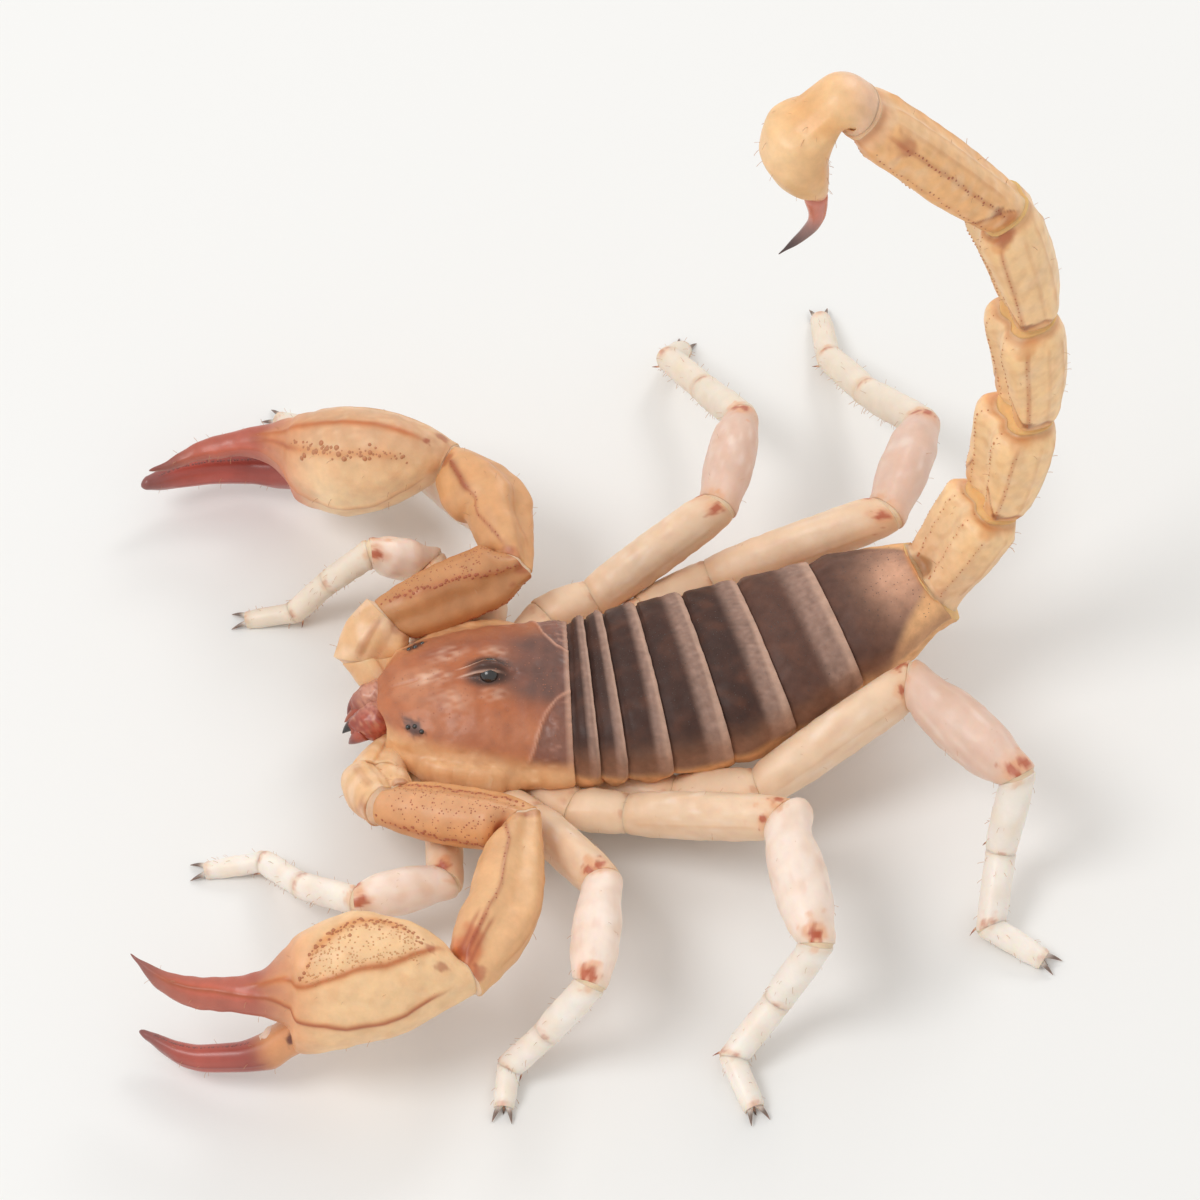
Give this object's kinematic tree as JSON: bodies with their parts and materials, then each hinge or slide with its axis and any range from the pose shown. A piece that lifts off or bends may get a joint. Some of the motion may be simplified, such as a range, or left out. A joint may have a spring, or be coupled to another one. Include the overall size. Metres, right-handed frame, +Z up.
{
  "type": "desert scorpion",
  "caption": "Still model of a living desert scorpion, standing with open claws, spread legs and an arched tail over its back.",
  "frame": {"origin": "on the floor, below the middle of the whole animal's bounding box", "axes": "+Z up, head toward -Y, the animal's left side toward +X; the soles of the feet stand on Z = 0"},
  "size_m": [0.07, 0.069, 0.0619],
  "materials": {
    "carapace": "satin chestnut-orange shell",
    "tergite": "satin dark brown shell",
    "tail": "satin straw-orange shell",
    "leg": "satin pale cream shell",
    "claw": "satin straw-orange shell",
    "finger": "glossy red-brown shell",
    "sting": "glossy dark red-brown shell",
    "eye": "polished black",
    "belly": "satin tan shell"
  },
  "bodies": {
    "root": {"prosoma": "carapace", "mesosoma_1": "tergite", "mesosoma_2": "tergite", "mesosoma_3": "tergite", "mesosoma_4": "tergite", "mesosoma_5": "tergite", "mesosoma_6": "tergite", "mesosoma_7": "tergite", "metasoma_1": "tail", "metasoma_2": "tail", "metasoma_3": "tail", "metasoma_4": "tail", "metasoma_5": "tail", "vesicle": "tail", "aculeus": "sting", "median_eye_L": "eye", "median_eye_R": "eye", "chelicera_L": "finger", "chelicera_R": "finger", "sternum": "belly", "pecten_L": "belly", "pecten_R": "belly", "pedipalp_L_trochanter": "claw", "pedipalp_L_femur": "claw", "pedipalp_L_patella": "claw", "pedipalp_L_palm": "claw", "pedipalp_L_movable_finger": "finger", "pedipalp_R_trochanter": "claw", "pedipalp_R_femur": "claw", "pedipalp_R_patella": "claw", "pedipalp_R_palm": "claw", "pedipalp_R_movable_finger": "finger", "leg_L1_femur": "leg", "leg_L1_patella": "leg", "leg_L1_foot": "leg", "leg_L2_femur": "leg", "leg_L2_patella": "leg", "leg_L2_foot": "leg", "leg_L3_femur": "leg", "leg_L3_patella": "leg", "leg_L3_foot": "leg", "leg_L4_femur": "leg", "leg_L4_patella": "leg", "leg_L4_foot": "leg", "leg_R1_femur": "leg", "leg_R1_patella": "leg", "leg_R1_foot": "leg", "leg_R2_femur": "leg", "leg_R2_patella": "leg", "leg_R2_foot": "leg", "leg_R3_femur": "leg", "leg_R3_patella": "leg", "leg_R3_foot": "leg", "leg_R4_femur": "leg", "leg_R4_patella": "leg", "leg_R4_foot": "leg"}
  },
  "joints": []
}
